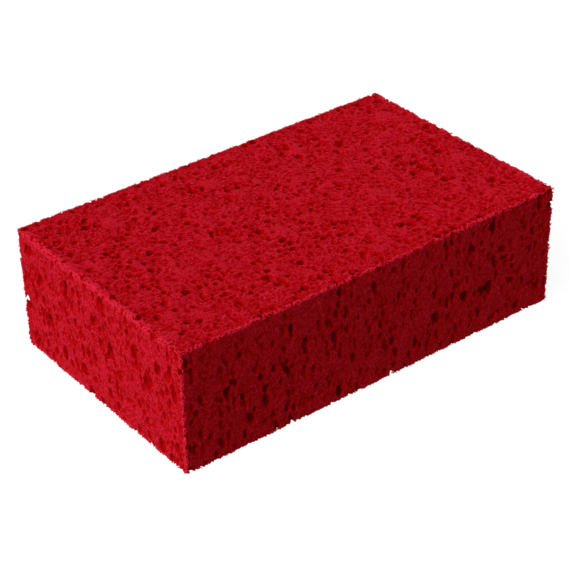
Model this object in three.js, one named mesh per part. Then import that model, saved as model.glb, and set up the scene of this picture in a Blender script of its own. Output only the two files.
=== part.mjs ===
// A tiler's sponge: one block of open-cell foam, cut square, with soft edges.
// Millimetres, +Z up. The origin is the middle of the bottom face, +X runs along
// the length and +Y along the width.
import * as THREE from 'three';

// Driving dimensions of the block.
const LENGTH = 200;
const WIDTH = 120;
const HEIGHT = 59;

// The four upright edges are rounded, and so are the edges round the top and the bottom.
const UPRIGHT_RADIUS = 2.5;
const RIM_RADIUS = 1.5;
const UPRIGHT_STEPS = 6;
const RIM_STEPS = 4;

// Look of the dry foam.
const FOAM_COLOUR = 0xb41424;
const FOAM_ROUGHNESS = 0.95;

// The plan of the block: a rectangle with a quarter circle at each corner,
// counter-clockwise from the start of the right-hand front corner.
function blockPlan() {
  const x = LENGTH / 2 - UPRIGHT_RADIUS;
  const y = WIDTH / 2 - UPRIGHT_RADIUS;
  const quarter = Math.PI / 2;
  const corners = [[x, -y], [x, y], [-x, y], [-x, -y]];
  const plan = new THREE.Shape();
  corners.forEach(([cornerX, cornerY], index) => {
    const start = (index - 1) * quarter;
    plan.absarc(cornerX, cornerY, UPRIGHT_RADIUS, start, start + quarter, false);
  });
  plan.closePath();
  return plan;
}

// The plan extruded upwards, with its rims rounded inwards so that the widest
// outline is the plan itself and the top and bottom stay flat.
function blockGeometry() {
  const geometry = new THREE.ExtrudeGeometry(blockPlan(), {
    depth: HEIGHT - 2 * RIM_RADIUS,
    curveSegments: UPRIGHT_STEPS,
    bevelEnabled: true,
    bevelThickness: RIM_RADIUS,
    bevelSize: RIM_RADIUS,
    bevelOffset: -RIM_RADIUS,
    bevelSegments: RIM_STEPS,
  });
  geometry.translate(0, 0, RIM_RADIUS);
  return geometry;
}

function spongeBlock() {
  const foam = new THREE.MeshStandardMaterial({
    color: FOAM_COLOUR,
    roughness: FOAM_ROUGHNESS,
    metalness: 0,
  });
  const block = new THREE.Mesh(blockGeometry(), foam);
  block.name = 'sponge_block';
  return block;
}

const group = new THREE.Group();
group.add(spongeBlock());

export default group;
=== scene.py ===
"""A tiler's sponge: one block of red open-cell foam on a white studio floor."""

import math
from collections import namedtuple

import bpy
import numpy as np
import openvdb
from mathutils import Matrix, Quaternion, Vector


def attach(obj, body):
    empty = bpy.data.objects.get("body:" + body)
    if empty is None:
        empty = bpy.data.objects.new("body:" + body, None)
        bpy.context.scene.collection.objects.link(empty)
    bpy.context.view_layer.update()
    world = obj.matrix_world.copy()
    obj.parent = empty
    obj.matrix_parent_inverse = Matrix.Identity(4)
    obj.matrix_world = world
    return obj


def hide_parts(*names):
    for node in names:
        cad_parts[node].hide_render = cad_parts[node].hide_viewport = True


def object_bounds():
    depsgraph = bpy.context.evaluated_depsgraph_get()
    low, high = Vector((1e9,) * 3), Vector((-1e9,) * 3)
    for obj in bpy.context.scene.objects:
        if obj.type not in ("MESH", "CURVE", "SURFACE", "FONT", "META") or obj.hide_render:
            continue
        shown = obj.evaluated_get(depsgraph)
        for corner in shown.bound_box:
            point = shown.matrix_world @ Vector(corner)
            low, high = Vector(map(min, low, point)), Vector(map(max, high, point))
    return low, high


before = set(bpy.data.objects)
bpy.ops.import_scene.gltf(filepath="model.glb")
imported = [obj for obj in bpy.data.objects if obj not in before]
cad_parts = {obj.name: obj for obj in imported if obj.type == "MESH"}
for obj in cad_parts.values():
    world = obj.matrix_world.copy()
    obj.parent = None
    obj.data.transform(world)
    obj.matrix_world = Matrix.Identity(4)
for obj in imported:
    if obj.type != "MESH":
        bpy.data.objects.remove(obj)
cad_low, cad_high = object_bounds()

MM = 0.001
block_low, block_high = np.array(cad_low), np.array(cad_high)
block_size = block_high - block_low
block_half = block_size / 2
block_middle = (block_low + block_high) / 2


# ---- Camera ---------------------------------------------------------------

CAMERA_AZIMUTH = math.radians(-37.5)
CAMERA_ELEVATION = math.radians(32.9)
CAMERA_ROLL = math.radians(1.05)
CAMERA_DISTANCE = 773 * MM
CAMERA_LENS = 111.1
CAMERA_SENSOR = 36
CAMERA_PAN_RIGHT = -2.5 * MM
CAMERA_PAN_UP = -8.6 * MM


def make_camera():
    """A camera that looks down on the block past its nearest corner, aimed just below its middle."""
    data = bpy.data.cameras.new("camera")
    data.lens = CAMERA_LENS
    data.sensor_width = CAMERA_SENSOR
    camera = bpy.data.objects.new("camera", data)
    bpy.context.scene.collection.objects.link(camera)
    level = math.cos(CAMERA_ELEVATION)
    back = Vector((
        math.sin(CAMERA_AZIMUTH) * level,
        -math.cos(CAMERA_AZIMUTH) * level,
        math.sin(CAMERA_ELEVATION),
    ))
    turn = (-back).to_track_quat("-Z", "Y")
    right, up = turn @ Vector((1, 0, 0)), turn @ Vector((0, 1, 0))
    aim = (cad_low + cad_high) / 2 + right * CAMERA_PAN_RIGHT + up * CAMERA_PAN_UP
    camera.rotation_mode = "QUATERNION"
    camera.rotation_quaternion = turn @ Quaternion((0, 0, 1), -CAMERA_ROLL)
    camera.location = aim + back * CAMERA_DISTANCE
    bpy.context.scene.camera = camera


# ---- Places on the block --------------------------------------------------

EDGE_BAND = 1.3 * MM    # no large pore is centred in this strip along each edge
SIDE_BAND = 4 * MM      # how deep into the block its two long sides reach


def edge_distance(points):
    """How far each point on or near the surface is from the nearest edge of the block."""
    inside = np.sort(block_half - np.abs(points - block_middle), axis=1)
    return inside[:, 1]


def everywhere(points):
    return np.full(len(points), True)


def near_edges(points):
    return edge_distance(points) < EDGE_BAND


def off_edges(points):
    return edge_distance(points) > EDGE_BAND


def long_sides(points):
    return off_edges(points) & (np.abs(points[:, 1]) > block_half[1] - SIDE_BAND)


# ---- Foam field -----------------------------------------------------------
#
# The foam is a field of signed distances on a grid, negative in the foam and
# positive in the air. Pores are carved out of it before it is turned into a mesh.

VOXEL = 0.4 * MM
MARGIN = 4 * VOXEL
FIELD_LIMIT = 3 * VOXEL     # the field is only needed this close to the surface
CARVE_REACH = 2 * VOXEL     # a pore changes the field this far outside itself
LEAN_ROOM = 1.05            # room in a pore's box for its lean
EDGE_RADIUS = 1.0 * MM
GRAIN = (-0.17, 0.0)        # the foam's rise leans this much along x and y for each unit of z

rng = np.random.default_rng(7)

# One kind of pore: which part of the block it is cut in, the spacing of its centres, the
# least and greatest half width, the least and greatest height over width, how much the
# leans differ, and how far above and below the surface its centres may lie. A negative
# value below keeps them above the surface.
Pores = namedtuple("Pores", "where spacing radius stretch lean above below")

# The kinds of pore, in the order they are cut: the deep ones of the long sides, the large
# and middling ones of every face, small ones, crumbs along the edges, and the fine net.
PORES = [
    Pores(long_sides, spacing=6.4 * MM, radius=(1.1 * MM, 1.8 * MM), stretch=(1.5, 2.2),
          lean=0.07, above=0.1 * MM, below=0.8 * MM),
    Pores(long_sides, spacing=3.5 * MM, radius=(0.75 * MM, 1.10 * MM), stretch=(1.4, 2.2),
          lean=0.08, above=0.1 * MM, below=0.7 * MM),
    Pores(off_edges, spacing=5.0 * MM, radius=(1.2 * MM, 1.9 * MM), stretch=(1.4, 2.2),
          lean=0.07, above=0.80 * MM, below=0.20 * MM),
    Pores(off_edges, spacing=2.7 * MM, radius=(0.80 * MM, 1.25 * MM), stretch=(1.4, 2.3),
          lean=0.08, above=0.68 * MM, below=0.08 * MM),
    Pores(everywhere, spacing=1.7 * MM, radius=(0.50 * MM, 0.80 * MM), stretch=(1.3, 2.1),
          lean=0.08, above=0.50 * MM, below=-0.10 * MM),
    Pores(near_edges, spacing=1.4 * MM, radius=(0.45 * MM, 0.80 * MM), stretch=(1.0, 1.5),
          lean=0.2, above=0.60 * MM, below=0.1 * MM),
    Pores(everywhere, spacing=0.78 * MM, radius=(0.42 * MM, 0.60 * MM), stretch=(1.1, 1.6),
          lean=0.1, above=0.45 * MM, below=-0.15 * MM),
]

# Noise that moves the surface: its wavelength, how widely the wavelengths spread, its
# typical height, and the side of its repeating cube in voxels.
Noise = namedtuple("Noise", "wave spread height cube")
SWELL = Noise(wave=14 * MM, spread=0.6, height=0.08 * MM, cube=128)
FRAY = Noise(wave=0.9 * MM, spread=0.5, height=0.03 * MM, cube=96)
EDGE_FRAY_HEIGHT = 0.45 * MM    # the fraying's height on the block's edges
EDGE_FRAY_WIDTH = 0.8 * MM      # how fast it falls off away from them


def grid_axes():
    """Sample positions along x, y and z, each shaped to spread over its own axis."""
    axes = []
    for i in range(3):
        count = int(math.ceil((block_high[i] - block_low[i] + 2 * MARGIN) / VOXEL)) + 1
        line = (block_low[i] - MARGIN + VOXEL * np.arange(count)).astype(np.float32)
        axes.append(line.reshape([-1 if i == k else 1 for k in range(3)]))
    return axes


def block_distance(axes):
    """Distance from the uncut block's surface, negative inside. The edges are round."""
    q = [np.abs(a - c) - (h - EDGE_RADIUS) for a, c, h in zip(axes, block_middle, block_half)]
    outside = np.sqrt(sum(np.maximum(a, 0) ** 2 for a in q))
    inside = np.minimum(np.maximum(np.maximum(q[0], q[1]), q[2]), 0)
    return (outside + inside - EDGE_RADIUS).astype(np.float32)


def field_at(field, origin, points):
    """The field's value at each point, blended between the eight samples round it."""
    last = np.array(field.shape) - 1.001    # just short of the last sample
    place = np.clip((points - origin) / VOXEL, 0, last)
    base = place.astype(int)
    part = (place - base).astype(np.float32)
    value = np.zeros(len(points), np.float32)
    for corner in np.ndindex(2, 2, 2):
        weight = np.prod(np.where(corner, part, 1 - part), axis=1)
        index = base + corner
        value += weight * field[index[:, 0], index[:, 1], index[:, 2]]
    return value


def scatter(low, high, spacing):
    """Points at random in a box, one to each cell of about that spacing, off the cell's rim."""
    rim = 0.12
    counts = [max(1, int((high[i] - low[i]) / spacing)) for i in range(3)]
    cells = np.stack(np.meshgrid(*[np.arange(n) for n in counts], indexing="ij"), -1)
    places = rng.random((int(np.prod(counts)), 3))
    cells = cells.reshape(-1, 3) + rim + (1 - 2 * rim) * places
    size = np.array([(high[i] - low[i]) / counts[i] for i in range(3)])
    return low + cells * size


def carve(field, origin, centres, radii, stretches, lean):
    """Opens an ellipsoid at each centre, drawn out along the leaning grain."""
    tilt = rng.normal(GRAIN, lean, (len(centres), 2))
    reach = np.array([1, 1, stretches.max()]) * radii.max() * LEAN_ROOM
    steps = np.ceil(reach / VOXEL).astype(int) + 1
    base = np.rint((centres - origin) / VOXEL).astype(int)
    start = base * VOXEL + origin - centres
    flat = field.reshape(-1)
    for offset in np.ndindex(*(2 * steps + 1)):
        step = np.array(offset) - steps
        index = base + step
        away = start + step * VOXEL
        across = away[:, :2] - tilt * away[:, 2:]
        along = away[:, 2] / stretches
        value = radii - np.sqrt(across[:, 0] ** 2 + across[:, 1] ** 2 + along ** 2)
        keep = (value > -CARVE_REACH) & np.all((index >= 0) & (index < field.shape), axis=1)
        if keep.any():
            at = np.ravel_multi_index(index[keep].T, field.shape)
            flat[at] = np.maximum(flat[at], value[keep].astype(np.float32))


def between(limits, parts):
    """Values that lie between the two limits, by their parts of the way from 0 to 1."""
    return limits[0] + (limits[1] - limits[0]) * parts


def add_pores(field, origin, pores):
    """Carves pores of one kind round the present surface, most of them near their least size."""
    centres = scatter(block_low - pores.above, block_high + pores.above, pores.spacing)
    centres = centres[pores.where(centres)]
    depth = -field_at(field, origin, centres)
    centres = centres[(depth > -pores.above) & (depth < pores.below)]
    radii = between(pores.radius, rng.random(len(centres)) ** 2)
    stretches = between(pores.stretch, rng.random(len(centres)))
    carve(field, origin, centres, radii, stretches, pores.lean)


def noise_cube(noise):
    """A cube of smooth random numbers that repeats, of about unit size."""
    f = np.fft.fftfreq(noise.cube, VOXEL)
    r = np.sqrt(f[:, None, None] ** 2 + f[None, :, None] ** 2 + f[None, None, :] ** 2)
    band = np.exp(-((r * noise.wave - 1) / noise.spread) ** 2)
    values = np.fft.ifftn(np.fft.fftn(rng.normal(size=(noise.cube,) * 3)) * band).real
    return (values / values.std()).astype(np.float32)


def near_surface(field, noise):
    return np.nonzero(np.abs(field) < FIELD_LIMIT + 2 * noise.height)


def add_noise(field, cube, near, height):
    """Moves the surface in and out by the repeating noise times height, at the near samples."""
    size = len(cube)
    values = cube[near[0] % size, near[1] % size, near[2] % size]
    field[near] += (height * values).astype(np.float32)


def swell(field):
    """Gives the flat faces the slight unevenness of cut foam."""
    cube = noise_cube(SWELL)
    add_noise(field, cube, near_surface(field, SWELL), SWELL.height)


def fray(field, axes):
    """Roughens the surface a little everywhere and tears it along the block's edges."""
    cube = noise_cube(FRAY)
    near = near_surface(field, FRAY)
    points = np.stack([axis.reshape(-1)[index] for axis, index in zip(axes, near)], axis=1)
    away = np.maximum(edge_distance(points), 0)
    height = FRAY.height + (EDGE_FRAY_HEIGHT - FRAY.height) * np.exp(-away / EDGE_FRAY_WIDTH)
    add_noise(field, cube, near, height)


def foam_field(axes, origin):
    """The foam's field, and the field of the block's skin from before its pores were cut."""
    field = block_distance(axes)
    swell(field)
    skin = field.copy()
    for pores in PORES:
        add_pores(field, origin, pores)
    fray(field, axes)
    field = np.maximum(field, cad_low[2] - axes[2]).astype(np.float32)
    return field, skin


# ---- Foam mesh ------------------------------------------------------------

# A pore's wall counts at its true depth down to PORE_RIM and at a share of it below that. This depth
# sets the painted shade in the pores: deeper is darker.
PORE_RIM = 0.5 * MM
# On the long sides a larger share and an extra depth are painted shade, which darkens them and their
# pores more than the top and the ends.
SIDE_SHADE_SHARE = 0.6
FACE_SHADE_SHARE = 0.10
SIDE_SHADE_EXTRA = 0.05 * MM  # painted shade added on the long sides, which makes them darker and their strands less pink
SIDE_HIGHLIGHT_SPEED = 2.5    # the painted highlight along the edges fades this much faster there

BAKE_MARGIN = 2 * MM
# The block's sides on the baking map, in columns: the axis through the side, and whether
# it is the high side.
BAKE_COLUMNS = [
    [(2, True), (2, False), (1, False), (1, True)],
    [(0, False), (0, True)],
]


def main_shell(count, faces):
    """Which of the faces belong to the largest connected shell."""
    a = faces.reshape(-1)
    b = np.roll(faces, -1, axis=1).reshape(-1)
    label = np.arange(count)
    while True:
        low = np.minimum(label[a], label[b])
        new = label.copy()
        np.minimum.at(new, a, low)
        np.minimum.at(new, b, low)
        new = new[new]
        if np.array_equal(new, label):
            break
        label = new
    face_label = label[faces[:, 0]]
    names, sizes = np.unique(face_label, return_counts=True)
    return face_label == names[np.argmax(sizes)]


def foam_surface(field, origin):
    """Points and four-sided faces of the field's surface, without loose crumbs."""
    grid = openvdb.FloatGrid()
    grid.background = FIELD_LIMIT
    grid.copyFromArray(np.clip(field, -FIELD_LIMIT, FIELD_LIMIT))
    points, _, quads = grid.convertToPolygons(isovalue=0, adaptivity=0.0)
    faces = quads.astype(np.int64)
    faces = faces[main_shell(len(points), faces)]
    used, index = np.unique(faces, return_inverse=True)
    return points[used] * VOXEL + origin, index.reshape(faces.shape)


def quad_mesh(name, points, faces):
    mesh = bpy.data.meshes.new(name)
    mesh.vertices.add(len(points))
    mesh.vertices.foreach_set("co", points.astype(np.float32).reshape(-1))
    mesh.loops.add(faces.size)
    mesh.loops.foreach_set("vertex_index", faces.astype(np.int32).reshape(-1))
    mesh.polygons.add(len(faces))
    mesh.polygons.foreach_set("loop_start", np.arange(0, faces.size, 4, dtype=np.int32))
    mesh.update(calc_edges=True)
    return mesh


def add_distance(mesh, name, values):
    """Keeps a distance for each vertex, in millimetres, for the material to read."""
    layer = mesh.attributes.new(name, "FLOAT", "POINT")
    layer.data.foreach_set("value", (values / MM).astype(np.float32))


def pore_shade_depth(skin, origin, points):
    """How deep under the skin each point counts as being, which sets the painted shade of its
    colour: deeper is darker.
    """
    on_side = long_sides(points)
    depth = -field_at(skin, origin, points)
    shallow = np.minimum(depth, PORE_RIM)
    # The long sides get deeper painted shade in their pores, and painted shade over all of them.
    depth = shallow + (depth - shallow) * np.where(on_side, SIDE_SHADE_SHARE, FACE_SHADE_SHARE)
    return depth + np.where(on_side, SIDE_SHADE_EXTRA, 0)


def highlight_rim_distance(points):
    """How far each point counts as being from the block's nearest edge, for the painted highlight
    along the edges.
    """
    return edge_distance(points) * np.where(long_sides(points), SIDE_HIGHLIGHT_SPEED, 1.0)


def bake_charts():
    """Each side's place on the baking map, and the width of that square map.

    A chart is the side's axis, whether it is the high side, the axes along it and its corner.
    """
    charts = []
    left = 0
    tallest = 0
    for column in BAKE_COLUMNS:
        bottom = 0
        widest = 0
        for axis, is_high in column:
            across, up = [k for k in range(3) if k != axis]
            charts.append((axis, is_high, (across, up), (left, bottom)))
            bottom += block_size[up] + 2 * BAKE_MARGIN
            widest = max(widest, block_size[across] + 2 * BAKE_MARGIN)
        left += widest
        tallest = max(tallest, bottom)
    return charts, max(left, tallest) + BAKE_MARGIN


def unwrap(mesh, points, faces):
    """Lays each face on the map of the block's side it lies nearest to."""
    charts, map_width = bake_charts()
    centre = points[faces].mean(axis=1)
    gaps = [block_high[axis] - centre[:, axis] if is_high else centre[:, axis] - block_low[axis]
            for axis, is_high, along, corner in charts]
    side = np.argmin(np.stack(gaps, axis=1), axis=1)
    loop_side = np.repeat(side, 4)
    loop_points = points[faces.reshape(-1)]
    spots = np.zeros((len(loop_points), 2))
    for number, (axis, is_high, along, corner) in enumerate(charts):
        mine = loop_side == number
        for k in range(2):
            offset = corner[k] + BAKE_MARGIN - block_low[along[k]]
            spots[mine, k] = (loop_points[mine, along[k]] + offset) / map_width
    layer = mesh.uv_layers.new(name="OFBake")
    layer.data.foreach_set("uv", spots.astype(np.float32).reshape(-1))


def foam_mesh():
    axes = grid_axes()
    origin = np.array([float(axis.reshape(-1)[0]) for axis in axes])
    field, skin = foam_field(axes, origin)
    points, faces = foam_surface(field, origin)
    mesh = quad_mesh("sponge_foam", points, faces)
    # This depth sets the painted shade in the pores.
    add_distance(mesh, "pore_shade_depth", pore_shade_depth(skin, origin, points))
    # This distance sets the painted highlight along the edges.
    add_distance(mesh, "edge_distance", highlight_rim_distance(points))
    mesh.shade_smooth()
    unwrap(mesh, points, faces)
    return mesh


# ---- Materials ------------------------------------------------------------

# The net of strands: cells of the foam, taller than wide, with a fine speckle on them. Its height
# makes a bump, and in the colour it paints a highlight on the strands and shade in the cells, with a
# random speckle.
CELL = 1.0 * MM
CELL_FLATTENING = (1, 1, 0.65)
STRAND_EDGE = (0.02, 0.26)      # distance from a cell's wall over which a strand falls off
STRAND_HEIGHT = 0.7
SPECKLE = 0.4 * MM
SPECKLE_RANGE = (0.3, 0.7)
SPECKLE_HEIGHT = 0.8
BUMP_STRENGTH = 0.25
BUMP_DISTANCE = 0.3 * MM

# The painted shade is 0 on the palest strands and 1 deep in a pore: shade in the pores and highlight
# on strands and edges are painted into the colour.
SHADE_PER_DEPTH = 0.8           # for each millimetre of pore depth
SHADE_PER_HEIGHT = -0.30        # for each unit of the net's height: painted highlight on strands, painted shade in cells
PALE_HEIGHT = 1.2               # the height at which the net leaves the shade unchanged
HIGHLIGHT_RIM_WIDTH = (0.3, 3.2)          # millimetres from the edge over which the painted highlight fades
RIM_PAINTED_HIGHLIGHT = -0.2
# The foam's red, from the lit, pale strands down to the painted shade deep in a pore.
FOAM_SHADE_COLOURS = [
    (0.0, (0.54, 0.0120, 0.0330)),
    (0.12, (0.40, 0.0016, 0.0072)),
    (0.28, (0.29, 0.0002, 0.0013)),
    (0.5, (0.36, 0.0001, 0.0010)),
    (1.0, (0.15, 0.0001, 0.0005)),
]

FOAM_VALUES = {
    "Roughness": 0.95,
    "Specular IOR Level": 0.02,
    "Subsurface Weight": 0.6,
    "Subsurface Radius": (1.0, 0.2, 0.2),
    "Subsurface Scale": 1.0 * MM,
}
FLOOR_VALUES = {
    "Base Color": (0.1, 0.1, 0.1, 1),
    "Emission Color": (1, 1, 1, 1),
    "Emission Strength": 0.93,
    "Roughness": 0.9,
    "Specular IOR Level": 0.0,
}


def new_material(name, values):
    """A material of one principled shader with these values on its sockets."""
    material = bpy.data.materials.new(name)
    material.use_nodes = True
    tree = material.node_tree
    tree.nodes.clear()
    shader = tree.nodes.new("ShaderNodeBsdfPrincipled")
    output = tree.nodes.new("ShaderNodeOutputMaterial")
    tree.links.new(shader.outputs["BSDF"], output.inputs["Surface"])
    for socket, value in values.items():
        shader.inputs[socket].default_value = value
    return material, tree, shader


def combine(tree, operation, first, second):
    """A sum, difference or product of two values, the second of which may be a number."""
    made = tree.nodes.new("ShaderNodeMath")
    made.operation = operation
    tree.links.new(first, made.inputs[0])
    if isinstance(second, (int, float)):
        made.inputs[1].default_value = second
    else:
        tree.links.new(second, made.inputs[1])
    return made.outputs[0]


def map_range(tree, value, source, target):
    """The value moved from the source range to the target range, and kept inside it."""
    made = tree.nodes.new("ShaderNodeMapRange")
    tree.links.new(value, made.inputs["Value"])
    made.inputs["From Min"].default_value, made.inputs["From Max"].default_value = source
    made.inputs["To Min"].default_value, made.inputs["To Max"].default_value = target
    return made.outputs[0]


def colour_ramp(tree, level, stops):
    """The colour at that level, from stops of a position and a colour."""
    made = tree.nodes.new("ShaderNodeValToRGB")
    elements = made.color_ramp.elements
    while len(elements) < len(stops):
        elements.new(0.5)
    for element, (position, colour) in zip(elements, stops):
        element.position = position
        element.color = (*colour, 1)
    tree.links.new(level, made.inputs[0])
    return made.outputs[0]


def distance_value(tree, name):
    """A distance that the mesh keeps at its vertices, in millimetres."""
    made = tree.nodes.new("ShaderNodeAttribute")
    made.attribute_name = name
    return made.outputs["Fac"]


def net_height(tree):
    """The height of the foam's fine strands, for the bump and for the painted highlight and shade in
    the colour.
    """
    place = tree.nodes.new("ShaderNodeTexCoord")
    flattened = tree.nodes.new("ShaderNodeMapping")
    flattened.inputs["Scale"].default_value = CELL_FLATTENING
    tree.links.new(place.outputs["Object"], flattened.inputs["Vector"])
    cells = tree.nodes.new("ShaderNodeTexVoronoi")
    cells.feature = "DISTANCE_TO_EDGE"
    cells.inputs["Scale"].default_value = 1 / CELL
    tree.links.new(flattened.outputs["Vector"], cells.inputs["Vector"])
    specks = tree.nodes.new("ShaderNodeTexNoise")
    specks.inputs["Scale"].default_value = 1 / SPECKLE
    specks.inputs["Detail"].default_value = 1
    tree.links.new(place.outputs["Object"], specks.inputs["Vector"])
    strand = map_range(tree, cells.outputs["Distance"], STRAND_EDGE, (1, 0))
    speckle = map_range(tree, specks.outputs["Fac"], SPECKLE_RANGE, (0, 1))
    strand = combine(tree, "MULTIPLY", strand, STRAND_HEIGHT)
    speckle = combine(tree, "MULTIPLY", speckle, SPECKLE_HEIGHT)
    return combine(tree, "ADD", strand, speckle)


def foam_shade(tree, height):
    """How far down the foam's colours each spot is: painted shade deeper in pores, painted highlight
    on strands and edges.
    """
    # Painted shade in the pores, from the depth that the mesh keeps.
    pore = combine(tree, "MULTIPLY", distance_value(tree, "pore_shade_depth"), SHADE_PER_DEPTH)
    # The net paints the strands paler and the cells darker: painted highlight and shade.
    over = combine(tree, "SUBTRACT", height, PALE_HEIGHT)
    net = combine(tree, "MULTIPLY", over, SHADE_PER_HEIGHT)
    # A painted highlight along the block's edges, where the strands catch the light.
    rim = map_range(tree, distance_value(tree, "edge_distance"), HIGHLIGHT_RIM_WIDTH, (RIM_PAINTED_HIGHLIGHT, 0))
    return combine(tree, "ADD", combine(tree, "ADD", pore, net), rim)


def foam_material():
    """Red foam: painted shade in its pores, a painted highlight on its net of strands and its edges,
    and soft light inside.
    """
    material, tree, shader = new_material("red_foam", FOAM_VALUES)
    height = net_height(tree)
    colour = colour_ramp(tree, foam_shade(tree, height), FOAM_SHADE_COLOURS)
    tree.links.new(colour, shader.inputs["Base Color"])
    bump = tree.nodes.new("ShaderNodeBump")
    bump.inputs["Strength"].default_value = BUMP_STRENGTH
    bump.inputs["Distance"].default_value = BUMP_DISTANCE
    tree.links.new(height, bump.inputs["Height"])
    tree.links.new(bump.outputs["Normal"], shader.inputs["Normal"])
    return material


def floor_material():
    """White that gives most of its own light, so that the shadow on it stays faint."""
    return new_material("white_floor", FLOOR_VALUES)[0]


# ---- Stage and light ------------------------------------------------------

FLOOR_SIZE = 40.0

# The key lights the top and the left-hand end, and the weaker rim the edges at the back.
# The angle is each sun's width in degrees.
KEY = {"towards": (-0.74, -0.07, 0.65), "strength": 4.0, "angle": 64, "colour": (1.0, 1.12, 1.12)}
RIM = {"towards": (0.55, 0.83, 0.07), "strength": 1.6, "angle": 30, "colour": (1.0, 0.9, 0.95)}

# The world's colours by the angle above the horizon, in degrees.
BOUNCE = (0.12, 0.06, 0.06)
DOME = (0.15, 0.10, 0.10)
WHITE = (1, 1, 1)
WORLD_COLOURS = [(-4, BOUNCE), (-2, WHITE), (7, WHITE), (13, DOME)]


def make_floor():
    """A white floor under the block, which the camera sees but which lights nothing."""
    half = FLOOR_SIZE / 2
    mesh = bpy.data.meshes.new("floor")
    corners = [(-half, -half, 0), (half, -half, 0), (half, half, 0), (-half, half, 0)]
    mesh.from_pydata(corners, [], [(0, 1, 2, 3)])
    mesh.materials.append(floor_material())
    floor = bpy.data.objects.new("floor", mesh)
    bpy.context.scene.collection.objects.link(floor)
    floor.visible_diffuse = False


def make_sun(name, towards, strength, angle, colour):
    data = bpy.data.lights.new(name, "SUN")
    data.energy = strength
    data.angle = math.radians(angle)
    data.color = colour
    sun = bpy.data.objects.new(name, data)
    sun.rotation_mode = "QUATERNION"
    sun.rotation_quaternion = Vector(towards).to_track_quat("Z", "Y")
    bpy.context.scene.collection.objects.link(sun)


def make_world():
    """White at the horizon, like a studio sweep, with a dim warm fill above and below."""
    world = bpy.data.worlds.new("studio")
    world.use_nodes = True
    tree = world.node_tree
    background = tree.nodes["Background"]
    place = tree.nodes.new("ShaderNodeTexCoord")
    split = tree.nodes.new("ShaderNodeSeparateXYZ")
    tree.links.new(place.outputs["Generated"], split.inputs[0])
    level = map_range(tree, split.outputs["Z"], (-1, 1), (0, 1))
    stops = [((math.sin(math.radians(angle)) + 1) / 2, colour) for angle, colour in WORLD_COLOURS]
    tree.links.new(colour_ramp(tree, level, stops), background.inputs["Color"])
    background.inputs["Strength"].default_value = 1
    bpy.context.scene.world = world


make_camera()
make_floor()
make_world()
make_sun("key", **KEY)
make_sun("rim", **RIM)
bpy.context.scene.view_settings.view_transform = "Standard"

sponge = bpy.data.objects.new("sponge_foam", foam_mesh())
sponge.data.materials.append(foam_material())
bpy.context.scene.collection.objects.link(sponge)
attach(sponge, "root")
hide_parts("sponge_block")
